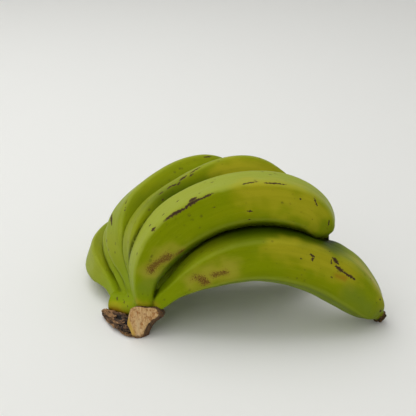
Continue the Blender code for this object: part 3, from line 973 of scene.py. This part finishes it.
def make_cut():
    """The block behind the knife cut: a fibrous face, then bark that swells and closes."""
    lean = np.radians(CUT_LEAN)
    up = np.array((0.0, np.sin(lean), np.cos(lean)))
    back = np.array((0.0, np.cos(lean), -np.sin(lean)))
    outline = rounded_outline(CUT_OUTLINE, CUT_CORNERS) - CUT_HEART
    steps = [(0.0, size, 0.0, 0.0) for size in np.linspace(FACE_MIDDLE, 1.0, CUT_FACE_RINGS)]
    stations, *shapes = np.array(CUT_BLOCK).T
    for distance in np.linspace(0, stations[-1], CUT_SIDE_RINGS)[1:]:
        steps.append((distance, *(np.interp(distance, stations, shape) for shape in shapes)))
    end = stations[-1] + CUT_END_STEP
    steps += [(end, size, *CUT_BLOCK[-1][2:]) for size in CUT_END]
    points, spots = [], []
    for distance, size, right, down in steps:
        across = outline[:, 0] * size + CUT_HEART[0] + right
        height = outline[:, 1] * size + CUT_HEART[1] - down
        flat = np.stack((across, height, np.full(len(across), distance)), axis=1)
        ribs = uneven(flat * (1.0, 0.16, 0.6), *CUT_RIBS) + uneven(flat, *CUT_WAVES)
        sink = np.full(len(across), distance + FACE_SINK)
        if distance == 0:
            sink += ribs
        else:
            across = (across - CUT_HEART[0]) * (1 + SIDE_SWELL * ribs) + CUT_HEART[0]
            height = (height - CUT_HEART[1]) * (1 + SIDE_SWELL * ribs) + CUT_HEART[1]
        sheet = across[:, None] * np.array((1.0, 0.0, 0.0)) + height[:, None] * up
        points.append(CUT_FOOT + sheet + back * sink[:, None])
        spots.append(flat)
    cut = closed_mesh("crown_cut", np.array(points))
    write_attribute(cut.data, "spot", np.vstack(spots))
    cut.data.shade_smooth()
    return cut


def folded(rings, stretch, size, depth):
    """Rings of bark pushed in and out in long folds, with the height of the fold at each point."""
    count, corners = rings.shape[:2]
    middle = rings.mean(axis=1, keepdims=True)
    lengthwise = np.repeat(np.linspace(0, 1, count), corners) * stretch
    around = np.tile(full_turn(corners), count)
    tube = np.stack((lengthwise, FOLD_TUBE * np.cos(around), FOLD_TUBE * np.sin(around)), axis=1)
    folds = 1 - 2 * np.abs(uneven(tube, size, 1.6))
    folds = np.clip(folds * 0.8 + uneven(tube * 2.3, size, 0.8), -1, 1).reshape(count, corners)
    ends = np.sin(np.pi * np.linspace(0, 1, count))[:, None] ** 0.3
    spokes = rings - middle
    reach = norm(spokes, axis=2, keepdims=True)
    lift = (folds * depth * ends - 0.1)[:, :, None]
    shaped = middle + spokes * (1 + lift / np.maximum(reach, depth))
    fold = np.stack((folds.reshape(-1), lengthwise * 10, around), axis=1)
    return shaped, fold


def make_bark():
    """The withered bark under the crown: one folded flap and torn strips lying on it."""
    skin, fold = folded(lump_skin(BARK_FLAP), *FLAP_FOLDS)
    # Painted shade on the flap's body, deeper towards the cut
    fold[:, 0] -= FLAP_SHADE + FLAP_END_SHADE * smoothstep(22, 40, fold[:, 1])
    layers = [("crown_flap", skin, fold)]
    stretch, size, depth = STRIP_FOLDS
    for number, (spine, half_width, half_height) in enumerate(TORN_STRIPS, 1):
        lump = {"spine": spine, "half_width": half_width, "half_height": half_height}
        skin, fold = folded(lump_skin(lump), stretch + number, size, depth)
        # Painted light: the torn strips read lighter than the flap
        fold[:, 0] += STRIP_PAINTED_LIGHT
        layers.append((f"torn_strip_{number}", skin, fold))
    pieces = []
    for name, skin, fold in layers:
        piece = closed_mesh(name, skin)
        write_attribute(piece.data, "fold", fold)
        piece.data.shade_smooth()
        pieces.append(piece)
    return pieces


def make_floor():
    """A pale round floor that sweeps up into a wall far behind the bananas."""
    arc = np.linspace(0, np.pi / 2, FLOOR_BEND_RINGS)
    bent = FLOOR_FLAT + FLOOR_BEND * np.sin(arc)
    radii = np.concatenate((FLOOR_RINGS, bent, [FLOOR_FLAT + FLOOR_BEND]))
    level = np.zeros(len(FLOOR_RINGS))
    heights = np.concatenate((level, FLOOR_BEND * (1 - np.cos(arc)), [FLOOR_BEND + FLOOR_WALL]))
    turn = full_turn(FLOOR_CORNERS)
    points = [(r * np.cos(t), r * np.sin(t), z) for r, z in zip(radii, heights) for t in turn]
    faces = [tuple(range(FLOOR_CORNERS))]
    faces += [face[::-1] for face in ring_faces(len(radii), FLOOR_CORNERS)]
    mesh = bpy.data.meshes.new("floor")
    mesh.from_pydata(points, [], faces)
    mesh.shade_smooth()
    floor = new_object("floor", mesh)
    material, _, surface = new_material("pale_floor")
    surface.inputs["Base Color"].default_value = FLOOR_COLOUR
    surface.inputs["Roughness"].default_value = 0.75
    surface.inputs["Specular IOR Level"].default_value = 0.2
    mesh.materials.append(material)


def aim(thing, place, target):
    thing.location = place
    thing.rotation_euler = (Vector(target) - Vector(place)).to_track_quat("-Z", "Y").to_euler()


def add_softbox(name, place, size, power):
    light = bpy.data.lights.new(name, "AREA")
    light.shape = "DISK"
    light.size = size
    light.energy = power
    aim(new_object(name, light), place, LIT_POINT)


def light_studio():
    """A big soft light high on the left, a weaker one at the front left, and a pale room."""
    add_softbox("key_softbox", *KEY_LIGHT)
    add_softbox("fill_softbox", *FILL_LIGHT)
    world = bpy.data.worlds.new("studio")
    world.use_nodes = True
    background = world.node_tree.nodes["Background"]
    background.inputs["Color"].default_value = (1, 1, 1, 1)
    background.inputs["Strength"].default_value = ROOM_LIGHT
    bpy.context.scene.world = world
    bpy.context.scene.view_settings.view_transform = "Standard"


def place_camera():
    elevation = np.radians(CAMERA_ELEVATION)
    back = np.array((0.0, -np.cos(elevation), np.sin(elevation)))
    target = (CAMERA_TARGET + CROWN_FOOT) * MM
    camera = new_object("camera", bpy.data.cameras.new("camera"))
    aim(camera, target + back * CAMERA_DISTANCE * MM, target)
    camera.data.lens = CAMERA_LENS
    camera.data.clip_start = 0.01
    bpy.context.scene.camera = camera


def hand_in(piece, node, material):
    """Give a piece its finish and let it stand for its node of the model."""
    piece.data.materials.append(material)
    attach(piece, "root")
    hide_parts(node)


# Colours as they are seen on a screen, from 0 to 255
PEEL_GREEN = shade(128, 142, 0)
PEEL_OLIVE = shade(146, 148, 4)
PEEL_DEEP = shade(98, 118, 0)
PEEL_BLUSH = shade(174, 164, 34)
PEEL_STREAK = shade(112, 126, 0)
PEEL_PALE = shade(158, 168, 60)
PEEL_FRESH = shade(128, 150, 0)
PEEL_TIP = shade(100, 118, 10)
PEEL_SCUFF = shade(108, 128, 36)
PEEL_HALO = shade(168, 158, 54)
PEEL_SHADOW = shade(16, 26, 4)
PEEL_SHELTER_SHADE = shade(58, 78, 0)
RUB_GROUND = shade(142, 112, 40)
RUB_BROWN = shade(92, 54, 30)
RUST = shade(156, 98, 24)
SPECK_BROWN = shade(72, 62, 24)
SCAR_RIM = shade(108, 86, 40)
SCAR_DARK = shade(62, 44, 36)
NUB_DARK = shade(30, 24, 20)
NUB_BROWN = shade(112, 80, 50)
CUT_TAN = shade(190, 142, 86)
CUT_PALE = shade(212, 174, 118)
CUT_CREAM = shade(226, 198, 150)
CUT_BROWN = shade(160, 102, 50)
CUT_GOLD = shade(206, 168, 62)
BARK_BROWN = shade(104, 76, 52)
BARK_DARK = shade(50, 38, 30)
BARK_BLACK = shade(18, 16, 15)
BARK_TAN = shade(174, 134, 92)
SHEEN_TINT = shade(218, 230, 130)
FLOOR_COLOUR = shade(236, 236, 233)

place_camera()
fibres, speckles, scar = fibre_group(), speckle_group(), scar_group()
hand_in(make_hand(), "banana_hand", green_peel(fibres, speckles, scar))
hand_in(make_cut(), "crown_pad", cut_flesh(fibres, speckles))
bark = withered_bark(fibres, speckles)
for piece in make_bark():
    hand_in(piece, "crown_pad", bark)
make_floor()
light_studio()
